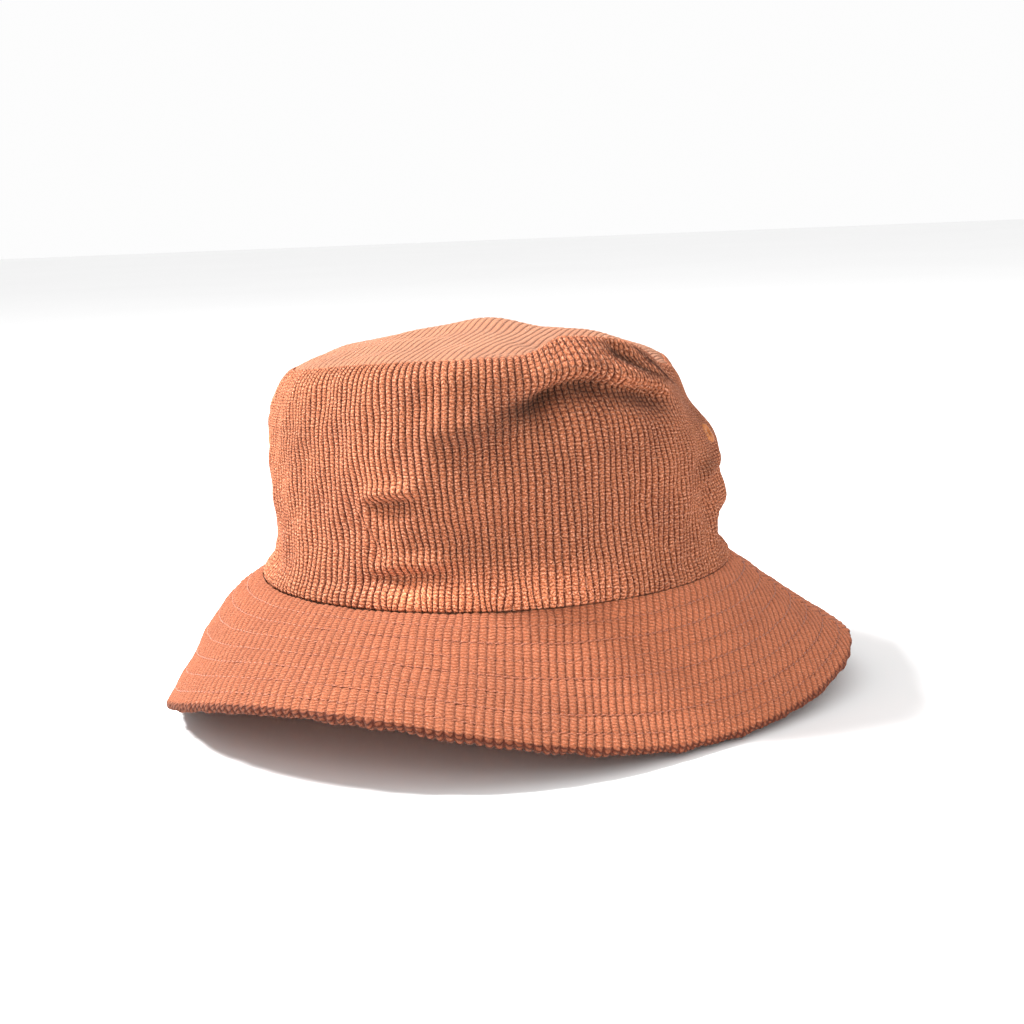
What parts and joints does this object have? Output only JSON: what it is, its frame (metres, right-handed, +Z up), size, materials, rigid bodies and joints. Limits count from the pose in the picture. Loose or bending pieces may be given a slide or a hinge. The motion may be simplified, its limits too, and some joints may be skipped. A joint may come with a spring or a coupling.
{
  "type": "bucket hat",
  "caption": "Soft corduroy bucket hat with an oval domed crown, wavy downturned topstitched brim, embroidered eyelets, lining, sweatband and labels.",
  "frame": {"origin": "centre of the hat's bounding box, at the level of the surface it rests on", "axes": "+Z up through the crown, -Y towards the front of the hat, +X towards the side with the raised brim"},
  "size_m": [0.2605, 0.2856, 0.1411],
  "materials": {
    "corduroy": "ribbed cotton pile, terracotta orange",
    "lining": "plain woven cotton",
    "sweatband": "cotton twill tape",
    "interlining": "stiff white canvas",
    "sewing_thread": "spun polyester thread, tone on tone",
    "eyelet_thread": "satin stitched thread, golden orange",
    "woven_label": "damask woven label, blank",
    "care_label": "white satin tape, blank"
  },
  "bodies": {
    "hat": {"tip_panel": "corduroy", "crown_panel_front": "corduroy", "crown_panel_back": "corduroy", "lining_tip": "lining", "lining_side_front": "lining", "lining_side_back": "lining", "sweatband": "sweatband", "woven_label": "woven_label", "crown_seam_thread": "sewing_thread", "tip_seam_thread": "sewing_thread", "sweatband_thread": "sewing_thread", "side_seam_thread_left": "sewing_thread", "side_seam_thread_right": "sewing_thread", "eyelet_right_front": "eyelet_thread", "eyelet_right_back": "eyelet_thread", "eyelet_left_back": "eyelet_thread", "eyelet_left_front": "eyelet_thread", "brim_upper_front": "corduroy", "brim_upper_back": "corduroy", "brim_interlining_front": "interlining", "brim_interlining_back": "interlining", "brim_under_front": "corduroy", "brim_under_back": "corduroy", "brim_stitch_row_1": "sewing_thread", "brim_stitch_row_2": "sewing_thread", "brim_stitch_row_3": "sewing_thread", "brim_stitch_row_4": "sewing_thread", "brim_stitch_row_5": "sewing_thread", "brim_stitch_row_6": "sewing_thread", "brim_stitch_row_7": "sewing_thread"},
    "care_label": {"care_label": "care_label"}
  },
  "joints": [
    {"name": "care_label_swing", "type": "hinge", "parent": "hat", "child": "care_label", "pos_m": [-0.00599, 0.09554, 0.08078], "axis": [-1, 0, 0], "range_deg": [0, 160]}
  ]
}
